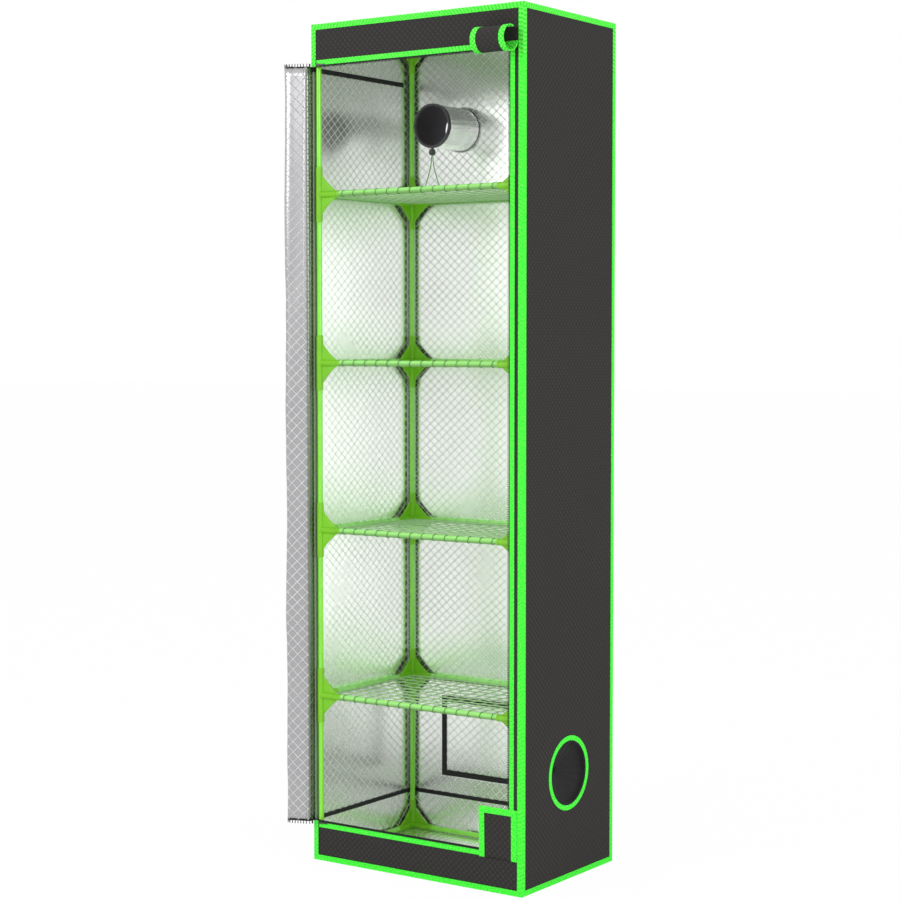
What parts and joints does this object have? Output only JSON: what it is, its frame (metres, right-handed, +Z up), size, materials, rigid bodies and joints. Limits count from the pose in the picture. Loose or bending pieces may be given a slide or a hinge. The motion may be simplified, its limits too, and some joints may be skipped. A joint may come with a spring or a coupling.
{
  "type": "indoor grow tent",
  "caption": "Tall fabric grow tent on a steel pole frame, with net shelves, a zipped door folded open, a duct sleeve, a vent window and a round port.",
  "frame": {"origin": "on the ground, under the middle of the tent's own plan, without the folded door", "axes": "+Z up, -Y towards the door side, +X towards the wall with the round port"},
  "size_m": [0.6696, 0.5118, 2],
  "materials": {
    "oxford_fabric": "matt charcoal oxford cloth, silver film on its inner face",
    "mylar_laminate": "silver film embossed with small diamonds, oxford cloth on its back",
    "green_binding": "neon green woven tape, stitched",
    "green_steel": "lime green powder coat, satin",
    "black_zip": "coil zip on black tape",
    "slider_metal": "bright die-cast metal",
    "net_cord": "pale green cord, knotted",
    "black_webbing": "black woven tape",
    "dark_plastic": "moulded, satin",
    "drawcord": "braided cord"
  },
  "bodies": {
    "root": {"back_left_post": "green_steel", "back_right_post": "green_steel", "back_rod_1": "green_steel", "back_rod_2": "green_steel", "back_rod_3": "green_steel", "back_rod_4": "green_steel", "back_rod_5": "green_steel", "back_rod_6": "green_steel", "back_wall": "oxford_fabric", "drawcord_left": "drawcord", "drawcord_right": "drawcord", "duct_ring": "green_binding", "duct_sleeve": "mylar_laminate", "edge_binding": "green_binding", "floor_panel": "oxford_fabric", "floor_tray": "mylar_laminate", "front_left_post": "green_steel", "front_panel": "oxford_fabric", "front_right_post": "green_steel", "front_rod_1": "green_steel", "front_rod_2": "green_steel", "front_rod_3": "green_steel", "front_rod_4": "green_steel", "front_rod_5": "green_steel", "front_rod_6": "green_steel", "left_rod_1": "green_steel", "left_rod_2": "green_steel", "left_rod_3": "green_steel", "left_rod_4": "green_steel", "left_rod_5": "green_steel", "left_rod_6": "green_steel", "left_wall": "oxford_fabric", "net_shelf_1": "net_cord", "net_shelf_2": "net_cord", "net_shelf_3": "net_cord", "net_shelf_4": "net_cord", "opening_binding": "green_binding", "port_ring": "green_binding", "port_sleeve": "oxford_fabric", "right_rod_1": "green_steel", "right_rod_2": "green_steel", "right_rod_3": "green_steel", "right_rod_4": "green_steel", "right_rod_5": "green_steel", "right_rod_6": "green_steel", "right_wall": "oxford_fabric", "roof_panel": "oxford_fabric", "vent_mesh": "black_webbing", "wall_strip": "black_webbing", "zip_track": "black_zip"},
    "door_hinge_strip": {"door_hinge_strip": "mylar_laminate"},
    "door_fold_strip": {"door_fold_strip": "mylar_laminate"},
    "door_panel": {"door_panel": "mylar_laminate"},
    "upper_slider": {"upper_slider": "slider_metal"},
    "lower_slider": {"lower_slider": "slider_metal"},
    "lower_flap": {"lower_flap": "oxford_fabric"},
    "rolled_flap": {"rolled_flap": "oxford_fabric"},
    "vent_flap": {"vent_flap": "mylar_laminate"},
    "cord_lock": {"cord_lock": "dark_plastic"}
  },
  "joints": [
    {"name": "door_hinge", "type": "hinge", "parent": "root", "child": "door_hinge_strip", "pos_m": [-0.2981, -0.1984, 1], "axis": [0, 0, 1], "range_deg": [0, 90]},
    {"name": "door_fold", "type": "hinge", "parent": "door_hinge_strip", "child": "door_fold_strip", "pos_m": [-0.2981, -0.2174, 1], "axis": [0, 0, 1], "range_deg": [0, 90]},
    {"name": "door_turn", "type": "hinge", "parent": "door_fold_strip", "child": "door_panel", "pos_m": [-0.3691, -0.2174, 1], "axis": [0, 0, 1], "range_deg": [0, 90]},
    {"name": "upper_zip", "type": "slide", "parent": "root", "child": "upper_slider", "axis": [1, 0, 0], "range_m": [0, 0.44]},
    {"name": "lower_zip", "type": "slide", "parent": "root", "child": "lower_slider", "axis": [1, 0, 0], "range_m": [0, 0.44]},
    {"name": "lower_flap_hinge", "type": "hinge", "parent": "root", "child": "lower_flap", "pos_m": [0.23535, -0.2013, 0.0796], "axis": [1, 0, 0], "range_deg": [0, 120]},
    {"name": "rolled_flap_hinge", "type": "hinge", "parent": "root", "child": "rolled_flap", "pos_m": [0.2416, -0.2003, 1.943], "axis": [1, 0, 0], "range_deg": [-60, 0]},
    {"name": "vent_flap_hinge", "type": "hinge", "parent": "root", "child": "vent_flap", "pos_m": [0, 0.1971, 0.353], "axis": [1, 0, 0], "range_deg": [-85, 0]},
    {"name": "cord_lock_slide", "type": "slide", "parent": "root", "child": "cord_lock", "axis": [0, 0, -1], "range_m": [0, 0.02], "deforming": ["drawcord_left", "drawcord_right"]}
  ],
  "couplings": [
    {"joint": "door_fold", "follows": "door_hinge", "ratio": 1},
    {"joint": "door_turn", "follows": "door_hinge", "ratio": 1}
  ]
}
